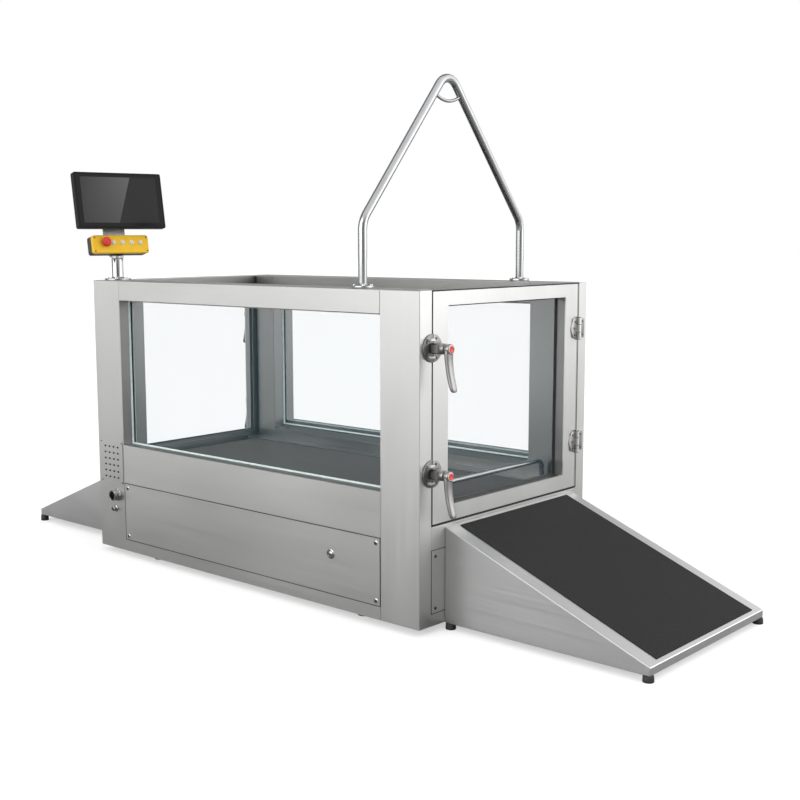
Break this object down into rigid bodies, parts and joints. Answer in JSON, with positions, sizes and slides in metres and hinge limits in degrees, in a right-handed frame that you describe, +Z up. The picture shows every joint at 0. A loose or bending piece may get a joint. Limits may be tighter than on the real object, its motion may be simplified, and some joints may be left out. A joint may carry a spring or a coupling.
{
  "type": "dog underwater treadmill",
  "caption": "Dog underwater treadmill: glass-sided steel tank with a walking belt, lever-latched end doors, ramps, a lifting arch and a swivelling control stand.",
  "frame": {"origin": "on the floor under the middle of the whole footprint, ramps and control stand included", "axes": "+X along the walking belt to the longer ramp, +Y to the side away from the control stand, +Z up"},
  "size_m": [3.38, 1.175, 1.9803],
  "materials": {
    "brushed_steel": "brushed",
    "polished_steel": "polished",
    "satin_chrome": "satin",
    "painted_steel": "satin",
    "clear_glass": "clear",
    "black_rubber": "matte",
    "belt_rubber": "matte",
    "deck_board": "matte",
    "black_plastic": "satin",
    "dark_plastic": "satin",
    "yellow_plastic": "satin",
    "red_plastic": "satin",
    "screen_glass": "gloss",
    "grey_plastic": "satin"
  },
  "bodies": {
    "tank": {"post_front_left": "brushed_steel", "post_front_right": "brushed_steel", "post_back_left": "brushed_steel", "post_back_right": "brushed_steel", "top_beam_front": "brushed_steel", "top_beam_back": "brushed_steel", "lower_panel_front": "brushed_steel", "lower_panel_back": "brushed_steel", "window_front": "clear_glass", "window_back": "clear_glass", "access_panel": "brushed_steel", "end_panel_right": "brushed_steel", "end_cover_right": "brushed_steel", "end_panel_left": "brushed_steel", "base_frame": "brushed_steel", "tub": "brushed_steel", "vent_grille": "brushed_steel", "water_outlet": "polished_steel", "sight_plug": "grey_plastic", "deck": "deck_board", "belt": "belt_rubber", "treadmill_frame": "brushed_steel", "drive_motor": "painted_steel", "drive_belt": "black_rubber", "guard_bar": "polished_steel", "gantry": "polished_steel", "monitor_post": "polished_steel"},
    "drive_roller": {"drive_roller": "polished_steel"},
    "idler_roller": {"idler_roller": "polished_steel"},
    "motor_pulley": {"motor_pulley": "polished_steel"},
    "control_head": {"monitor_bracket": "polished_steel", "control_box": "dark_plastic", "control_lid": "yellow_plastic"},
    "monitor": {"monitor_housing": "black_plastic", "monitor_screen": "screen_glass"},
    "emergency_stop": {"emergency_stop": "red_plastic"},
    "button_1": {"button_1": "grey_plastic"},
    "button_2": {"button_2": "grey_plastic"},
    "button_3": {"button_3": "grey_plastic"},
    "button_4": {"button_4": "grey_plastic"},
    "door_right": {"door_right_frame": "brushed_steel", "door_right_glass": "clear_glass", "door_right_seal": "black_rubber", "latch_right_upper": "satin_chrome", "latch_right_lower": "satin_chrome"},
    "door_left": {"door_left_frame": "brushed_steel", "door_left_glass": "clear_glass", "door_left_seal": "black_rubber"},
    "lever_right_upper": {"lever_right_upper": "satin_chrome"},
    "lever_button_right_upper": {"lever_button_right_upper": "red_plastic"},
    "lever_right_lower": {"lever_right_lower": "satin_chrome"},
    "lever_button_right_lower": {"lever_button_right_lower": "red_plastic"},
    "lever_left_upper": {"lever_left_upper": "satin_chrome"},
    "lever_button_left_upper": {"lever_button_left_upper": "red_plastic"},
    "lever_left_lower": {"lever_left_lower": "satin_chrome"},
    "lever_button_left_lower": {"lever_button_left_lower": "red_plastic"},
    "ramp_right": {"ramp_right": "brushed_steel", "ramp_right_mat": "black_rubber"},
    "ramp_left": {"ramp_left": "brushed_steel", "ramp_left_mat": "black_rubber"}
  },
  "joints": [
    {"name": "door_right_hinge", "type": "hinge", "parent": "tank", "child": "door_right", "pos_m": [0.879, 0.52375, 0.384], "axis": [0, 0, 1], "range_deg": [0, 105]},
    {"name": "door_left_hinge", "type": "hinge", "parent": "tank", "child": "door_left", "pos_m": [-0.989, -0.37875, 0.384], "axis": [0, 0, 1], "range_deg": [0, 105]},
    {"name": "lever_right_upper_turn", "type": "hinge", "parent": "door_right", "child": "lever_right_upper", "pos_m": [0.945, -0.37725, 1.004], "axis": [1, 0, 0], "range_deg": [0, 90]},
    {"name": "lever_right_upper_release", "type": "slide", "parent": "lever_right_upper", "child": "lever_button_right_upper", "axis": [-1, 0, 0], "range_m": [0, 0.003], "stiffness_N_per_m": 1500},
    {"name": "lever_right_lower_turn", "type": "hinge", "parent": "door_right", "child": "lever_right_lower", "pos_m": [0.945, -0.37725, 0.57], "axis": [1, 0, 0], "range_deg": [0, 90]},
    {"name": "lever_right_lower_release", "type": "slide", "parent": "lever_right_lower", "child": "lever_button_right_lower", "axis": [-1, 0, 0], "range_m": [0, 0.003], "stiffness_N_per_m": 1500},
    {"name": "lever_left_upper_turn", "type": "hinge", "parent": "door_left", "child": "lever_left_upper", "pos_m": [-1.055, 0.52225, 1.004], "axis": [-1, 0, 0], "range_deg": [0, 90]},
    {"name": "lever_left_upper_release", "type": "slide", "parent": "lever_left_upper", "child": "lever_button_left_upper", "axis": [1, 0, 0], "range_m": [0, 0.003], "stiffness_N_per_m": 1500},
    {"name": "lever_left_lower_turn", "type": "hinge", "parent": "door_left", "child": "lever_left_lower", "pos_m": [-1.055, 0.52225, 0.57], "axis": [-1, 0, 0], "range_deg": [0, 90]},
    {"name": "lever_left_lower_release", "type": "slide", "parent": "lever_left_lower", "child": "lever_button_left_lower", "axis": [1, 0, 0], "range_m": [0, 0.003], "stiffness_N_per_m": 1500},
    {"name": "drive_roller_spin", "type": "hinge", "parent": "tank", "child": "drive_roller", "pos_m": [-0.855, 0.0725, 0.3766], "axis": [0, 1, 0], "continuous": true},
    {"name": "idler_roller_spin", "type": "hinge", "parent": "tank", "child": "idler_roller", "pos_m": [0.745, 0.0725, 0.3766], "axis": [0, 1, 0], "continuous": true},
    {"name": "motor_spin", "type": "hinge", "parent": "tank", "child": "motor_pulley", "pos_m": [-0.855, 0.0725, 0.16], "axis": [0, 1, 0], "continuous": true},
    {"name": "monitor_swivel", "type": "hinge", "parent": "tank", "child": "control_head", "pos_m": [-0.89, -0.3775, 1.2955], "axis": [0, 0, 1], "range_deg": [-60, 60]},
    {"name": "monitor_tilt", "type": "hinge", "parent": "control_head", "child": "monitor", "pos_m": [-0.91879, -0.37138, 1.52432], "axis": [0.2079, 0.9781, 0], "range_deg": [-12, 12]},
    {"name": "emergency_stop_press", "type": "slide", "parent": "control_head", "child": "emergency_stop", "axis": [-0.9602, 0.2041, -0.1908], "range_m": [0, 0.004], "stiffness_N_per_m": 3000},
    {"name": "button_1_press", "type": "slide", "parent": "control_head", "child": "button_1", "axis": [-0.9602, 0.2041, -0.1908], "range_m": [0, 0.003], "stiffness_N_per_m": 1000},
    {"name": "button_2_press", "type": "slide", "parent": "control_head", "child": "button_2", "axis": [-0.9602, 0.2041, -0.1908], "range_m": [0, 0.003], "stiffness_N_per_m": 1000},
    {"name": "button_3_press", "type": "slide", "parent": "control_head", "child": "button_3", "axis": [-0.9602, 0.2041, -0.1908], "range_m": [0, 0.003], "stiffness_N_per_m": 1000},
    {"name": "button_4_press", "type": "slide", "parent": "control_head", "child": "button_4", "axis": [-0.9602, 0.2041, -0.1908], "range_m": [0, 0.003], "stiffness_N_per_m": 1000},
    {"name": "ramp_right_draw_off", "type": "slide", "parent": "tank", "child": "ramp_right", "axis": [1, 0, 0], "range_m": [0, 0.3]},
    {"name": "ramp_left_draw_off", "type": "slide", "parent": "tank", "child": "ramp_left", "axis": [-1, 0, 0], "range_m": [0, 0.3]}
  ],
  "couplings": [
    {"joint": "idler_roller_spin", "follows": "drive_roller_spin", "ratio": 1},
    {"joint": "motor_spin", "follows": "drive_roller_spin", "ratio": 1}
  ]
}
